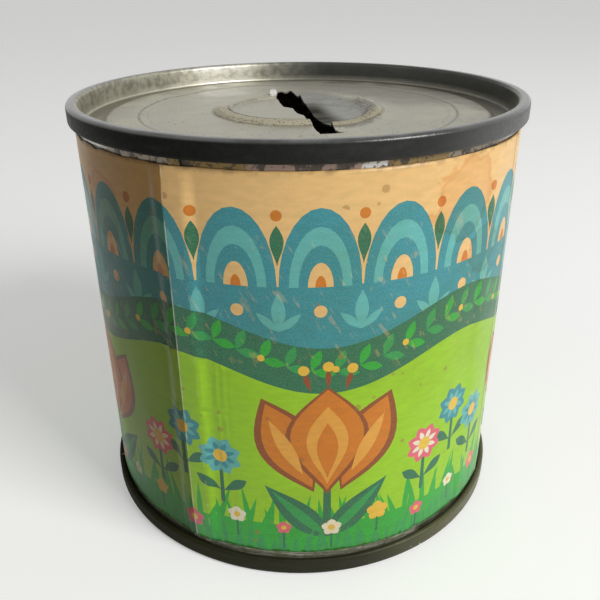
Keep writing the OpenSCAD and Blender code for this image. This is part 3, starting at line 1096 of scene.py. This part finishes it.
class LabelForm:
    """The rolled label: where a point of the flat print lies on the can, in millimetres."""

    def __init__(self, props):
        self.low = LABEL_LOW.z / MM
        self.high = (LABEL_HIGH.z - LABEL_LOW.z) / MM
        self.radius = LABEL_HIGH.x / MM
        self.round = 2 * math.pi * self.radius
        self.start = math.atan2(GLUE_LOW.y, GLUE_LOW.x)
        lock = math.atan2(LOCK_LOW.y + LOCK_HIGH.y, LOCK_LOW.x + LOCK_HIGH.x)
        self.ridge = ((lock - self.start) % (2 * math.pi)) * self.radius
        self.ridge_half = props.ridge_wide / 2 / MM
        self.ridge_high = props.ridge_high / MM
        self.tent = props.tent / MM
        self.paper = props.thickness / MM
        self.lap = props.lap / MM
        self.length = self.round + self.lap

    def lift(self, s, z):
        """How far the paper's face stands off the plain cylinder."""
        away = abs(s - self.ridge)
        slope = smooth((self.ridge_half + self.tent - away) / self.tent)
        ends = smooth(min(z, self.high - z) / 5)
        out = self.ridge_high * slope * (0.55 + 0.45 * ends)
        out += (self.paper + 0.06) * smooth((s - (self.round - 1.2)) / 1.0)
        loose = smooth((s - (self.length - 1.2)) / 1.2)
        out += 0.10 * loose * (0.6 + 0.4 * math.sin(z * 0.35))
        crease = math.exp(-((s - self.ridge - self.ridge_half - 2.8) / 1.8) ** 2) * smooth((48 - z) / 22)
        out += 0.035 * crease * (1 + math.sin(s * 6.0 + 0.8 * math.sin(z * 0.31)))
        spot = Vector((s * 0.06, z * 0.05, 0))
        return out + 0.03 * max(0, noise.noise(spot) + 0.2)

    def place(self, s, z):
        r = self.radius + self.lift(s, z)
        a = self.start + s / self.radius
        return Vector((r * math.cos(a), r * math.sin(a), self.low + z)) * MM

    def sheet(self):
        """The paper's own outline, with a slightly frayed upper and lower edge."""
        rng = random.Random(11)
        count = int(self.length / 1.3)
        xs = [self.length * k / count for k in range(count + 1)]

        def fray():
            return 0.05 * rng.random() + (0.3 * rng.random() if rng.random() < 0.07 else 0)

        lower = [(x, fray()) for x in xs]
        upper = [(x, self.high - fray()) for x in reversed(xs)]
        return lower + upper


def paper_grid(form, step):
    """Points that cut the sheet small enough to roll, closer beside the ridge."""
    columns, rows = int(form.length / step), int(form.high / step)
    xs = [form.length * (i + 0.5) / columns for i in range(columns)]
    xs += [form.ridge - 4 + 0.3 * k for k in range(38)]
    return [Vector((x, form.high * (j + 0.5) / rows)) for x in xs for j in range(rows)]


def turned_left(points):
    """The outline counter-clockwise, as the triangulation wants it."""
    area = sum(a[0] * b[1] - b[0] * a[1] for a, b in zip(points, points[1:] + points[:1]))
    return points if area > 0 else points[::-1]


def label_mesh(props, form):
    points = paper_grid(form, props.grid / MM)
    outlines, tints = [], []
    for outline, tint in [(form.sheet(), "paper")] + label_print(form.round, props.repeats):
        xs = [p[0] for p in outline]
        if max(xs) < -1 or min(xs) > form.length + 1:
            continue
        outlines.append(list(range(len(points), len(points) + len(outline))))
        points += [Vector(p) for p in turned_left(outline)]
        tints.append(tint)
    flat, _, faces, _, _, inside_of = delaunay_2d_cdt(points, [], outlines, 0, 1e-4, True)
    kept = [(face, max(ids)) for face, ids in zip(faces, inside_of) if 0 in ids]
    used = sorted({v for face, _ in kept for v in face})
    order = {v: k for k, v in enumerate(used)}
    verts = [form.place(flat[v].x, flat[v].y) for v in used]
    obj = mesh_object("label", verts, [tuple(order[v] for v in face) for face, _ in kept])
    paint = obj.data.color_attributes.new("print", "FLOAT_COLOR", "CORNER").data
    colours = {tint: (*getattr(props, tint), 1.0) for tint in set(tints)}
    flat_map = obj.data.uv_layers.new(name="flat").data
    for poly, (_, top) in zip(obj.data.polygons, kept):
        for loop in poly.loop_indices:
            paint[loop].color = colours[tints[top]]
            spot = flat[used[obj.data.loops[loop].vertex_index]]
            flat_map[loop].uv = spot / FLAT_UNIT
    modify(obj, "SOLIDIFY", thickness=props.thickness, offset=-1)
    return obj


def scratches(paper, turn, fine, long, cut):
    """Thin broken lines, turned from upright by an angle."""
    turned = {"Vector": paper.spot, "Angle": turn}
    at = paper.add("VectorRotate", turned, rotation_type="Z_AXIS")[0]
    return paper.use("scratches", Vector=at, Fine=fine, Long=long, Cut=cut)["Mask"]


def age_print(paper, props, form):
    """Brush marks, yellowed varnish, watermarks and brown specks over the print."""
    paper.tint = paper.add("VertexColor", layer_name="print")["Color"]
    dabs = paper.vector("MULTIPLY", paper.spot, (0.5, 1.3, 1))
    paper.coat(paper.mottle(0.9, 0.3, 0.7, dabs) * 0.16, BRUSH_TINT, "MULTIPLY")
    sky = paper.y.inside(31.0, 50.0, 2.0)
    paper.coat(scratches(paper, -0.5, 1.5, 0.16, 0.56) * sky * 0.22, props.paper)
    paper.coat(paper.mottle(4.5, 0.40, 0.60) * 0.07, props.paper)
    yellowed = paper.mottle(0.045, 0.40, 0.70)
    paper.coat(yellowed.spread(0, 1, 0.08, 0.45), props.age, "MULTIPLY")
    by_lap = ((form.round - 6, 52, 5.5), (form.round - 1, 44, 3.5))
    for x, y, radius in by_lap + WET_PATCHES:
        mark = paper.use("watermark", Vector=paper.spot, Centre=(x, y, 0), Radius=radius)
        for part, share in (("Fill", 0.5), ("Rim", 0.45)):
            paper.coat(mark[part] * share, props.tea, "MULTIPLY")
    paper.coat(paper.specks(0.42, 0.22, 0.50) * 0.5, props.stain)


def label_finish(props, form):
    """Varnished print, yellowed, stained, rubbed at the ridge and dirty at its edges, with painted shade
    left of the ridge, a painted highlight line along its fold and painted shade lines along the lap.
    """
    paper = Finish("printed label", props.paper)
    paper.measure(paper.add("UVMap", uv_map="flat")["UV"], FLAT_UNIT)
    age_print(paper, props, form)
    scored = paper.most(scratches(paper, 0, 5.0, 0.12, 0.70), scratches(paper, 1.1, 4.0, 0.1, 0.72))
    paper.coat(scored * 0.18, props.white)
    crest = abs(paper.x - form.ridge)
    edge = crest.inside(form.ridge_half - 0.1, form.ridge_half + 0.15, 0.12)
    rub = edge * paper.mottle(0.6, 0.48, 0.66)
    paper.coat(rub * 0.2, props.white)
    # Painted shade with some browned varnish over the paper left of the ridge's fold, fading out further
    # left; the gloss is lowered there too.
    fold = form.ridge - 0.9
    left = paper.x.spread(fold + 0.15, fold - 0.15) * paper.x.spread(fold - 32, fold - 12)
    paper.coat(left * 0.85, props.smoke_and_shade, "MULTIPLY")
    # A painted highlight line along the ridge's fold, broken by noise.
    highlight_breaks = paper.noise(paper.spot, 0.35).spread(0.35, 0.55)
    paper.coat(paper.x.inside(fold - 0.02, fold + 0.12, 0.08) * highlight_breaks * 0.7, props.white)
    paper.coat(paper.x.spread(form.length - 0.4, form.length - 0.2) * 0.5, props.white)
    # Painted shade lines along the lap: at the bend where the outer layer lifts, and beside its edge on the
    # layer beneath. They share one tint with the real dirt along the paper's upper and lower edges.
    lap_line = paper.x.inside(form.length - 1.35, form.length - 1.1, 0.12) * 0.85
    seat_line = paper.x.inside(form.lap - 0.1, form.lap + 0.3, 0.1)
    lines = paper.most(lap_line, seat_line) * 0.8
    near_high = paper.y.spread(form.high - 0.8, form.high - 0.1)
    near_edge = paper.most(paper.y.spread(0.9, 0.1), near_high)
    soiled = near_edge * (paper.mottle(0.7, 0.4, 0.65) * 0.45)
    paper.coat(paper.most(lines, soiled), faded(props.stain, 0.35))
    paper.give("Base Color", paper.tint)
    shine = paper.mottle(0.12, 0.3, 0.7).spread(0, 1, 0.30, 0.42)
    paper.give("Roughness", shine + paper.most(scored, rub) * 0.25)
    paper.give("Specular IOR Level", 0.35)
    paper.give("Specular IOR Level", paper.blend(left, 0.35, 0.12))
    paper.give("Coat Weight", 0.1)
    paper.give("Coat Roughness", 0.2)
    paper.bump(paper.noise(paper.spot, 2.2) * 0.5 - scored * 0.5, 0.25, 0.03)
    return paper


class MONEYBOX_OT_label(bpy.types.Operator):
    """Print the label and wrap it round the can"""

    bl_idname = "moneybox.label"
    bl_label = "Label"

    def execute(self, context):
        props = context.scene.moneybox_label
        form = LabelForm(props)
        obj = label_mesh(props, form)
        dress(obj, label_finish(props, form))
        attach(obj, "root")
        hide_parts("paper_label")
        return {"FINISHED"}


# ---- Stage ----

EYE_AWAY = 107.28 * MM
EYE_HIGH = 81.85 * MM
EYE_TURN = math.radians(13.2)
EYE_DOWN = 0.4568
EYE_ROLL = -0.0099
LENS_MM = 40.73


def add_camera():
    sight = Vector((math.sin(EYE_TURN), math.cos(EYE_TURN), 0))
    ahead = sight * math.cos(EYE_DOWN) - Vector((0, 0, math.sin(EYE_DOWN)))
    right = ahead.cross(Vector((0, 0, 1))).normalized()
    up = right.cross(ahead)
    turned_right = right * math.cos(EYE_ROLL) + up * math.sin(EYE_ROLL)
    turned_up = up * math.cos(EYE_ROLL) - right * math.sin(EYE_ROLL)
    data = bpy.data.cameras.new("camera")
    data.lens = LENS_MM
    data.clip_start = 5 * MM
    eye = bpy.data.objects.new("camera", data)
    place = Matrix((turned_right, turned_up, -ahead)).transposed().to_4x4()
    place.translation = Vector((0, 0, EYE_HIGH)) - sight * EYE_AWAY
    eye.matrix_world = place
    bpy.context.scene.collection.objects.link(eye)
    bpy.context.scene.camera = eye


def add_lamp(name, place, size, power):
    data = bpy.data.lights.new(name, "AREA")
    data.shape = "RECTANGLE"
    data.size, data.size_y = size
    data.energy = power
    lamp = bpy.data.objects.new(name, data)
    lamp.location = place
    lamp.rotation_euler = (Vector((0, 0, 0.03)) - Vector(place)).to_track_quat("-Z", "Y").to_euler()
    bpy.context.scene.collection.objects.link(lamp)


def seen_by(nodes):
    """1 for the rays that only look: from the camera, or by reflection or refraction."""
    path = nodes.add("LightPath")
    return nodes.most(path["Is Camera Ray"], nodes.most(path["Is Glossy Ray"], path["Is Transmission Ray"]))


def add_floor(tint, glow):
    """A pale floor. What looks at it sees it lighter, and its light on the object stays."""
    bpy.ops.mesh.primitive_plane_add(size=6, location=(0, 0, 0))
    floor = bpy.context.active_object
    floor.name = "floor"
    finish = Finish("floor", tint)
    finish.give("Base Color", as_rgba(tint))
    finish.give("Roughness", 0.6)
    finish.give("Emission Color", as_rgba(tint))
    finish.give("Emission Strength", seen_by(finish) * glow)
    dress(floor, finish)


def add_world(tint, strength):
    """An even pale sky: what the camera and gloss see is the backdrop's colour, what lights is softer."""
    world = bpy.data.worlds.new("studio")
    bpy.context.scene.world = world
    world.use_nodes = True
    nodes = Nodes(world.node_tree)
    back = world.node_tree.nodes["Background"].inputs
    back["Color"].default_value = as_rgba(tint)
    nodes.put(back["Strength"], nodes.blend(seen_by(nodes), strength, 1.0))


class MONEYBOX_OT_stage(bpy.types.Operator):
    """Set the floor, the lamps and the camera"""

    bl_idname = "moneybox.stage"
    bl_label = "Stage"

    def execute(self, context):
        props = context.scene.moneybox_stage
        context.scene.view_settings.view_transform = "Standard"
        add_floor(props.floor, props.glow)
        add_world(props.floor, props.sky)
        add_lamp("key lamp", (0.38, -0.45, 0.42), (0.3, 0.3), props.key)
        add_lamp("fill lamp", (-0.50, -0.05, 0.40), (0.4, 0.4), props.fill)
        add_camera()
        return {"FINISHED"}


class MONEYBOX_PT_panel(bpy.types.Panel):
    """The money box's steps, sizes and colours"""

    bl_label = "Money Box"
    bl_idname = "MONEYBOX_PT_panel"
    bl_space_type = "VIEW_3D"
    bl_region_type = "UI"
    bl_category = "Money Box"

    def draw(self, context):
        for step in STEPS:
            self.layout.operator(step.bl_idname)
        for name, group in GROUPS.items():
            box = self.layout.box()
            for prop in group.__annotations__:
                box.prop(getattr(context.scene, name), prop)


STEPS = (
    MONEYBOX_OT_stage,
    MONEYBOX_OT_body,
    MONEYBOX_OT_lid,
    MONEYBOX_OT_fillings,
    MONEYBOX_OT_label,
)
GROUPS = {
    "moneybox_lid": MoneyBoxLid,
    "moneybox_label": MoneyBoxLabel,
    "moneybox_tin": MoneyBoxTin,
    "moneybox_filling": MoneyBoxFilling,
    "moneybox_stage": MoneyBoxStage,
}


def register():
    for name, group in GROUPS.items():
        bpy.utils.register_class(group)
        setattr(bpy.types.Scene, name, PointerProperty(type=group))
    for step in STEPS:
        bpy.utils.register_class(step)
    bpy.utils.register_class(MONEYBOX_PT_panel)


def unregister():
    bpy.utils.unregister_class(MONEYBOX_PT_panel)
    for step in reversed(STEPS):
        bpy.utils.unregister_class(step)
    for name, group in GROUPS.items():
        delattr(bpy.types.Scene, name)
        bpy.utils.unregister_class(group)


def main():
    register()
    bpy.ops.moneybox.stage()
    bpy.ops.moneybox.body()
    bpy.ops.moneybox.lid()
    bpy.ops.moneybox.fillings()
    bpy.ops.moneybox.label()


if __name__ == "__main__":
    main()
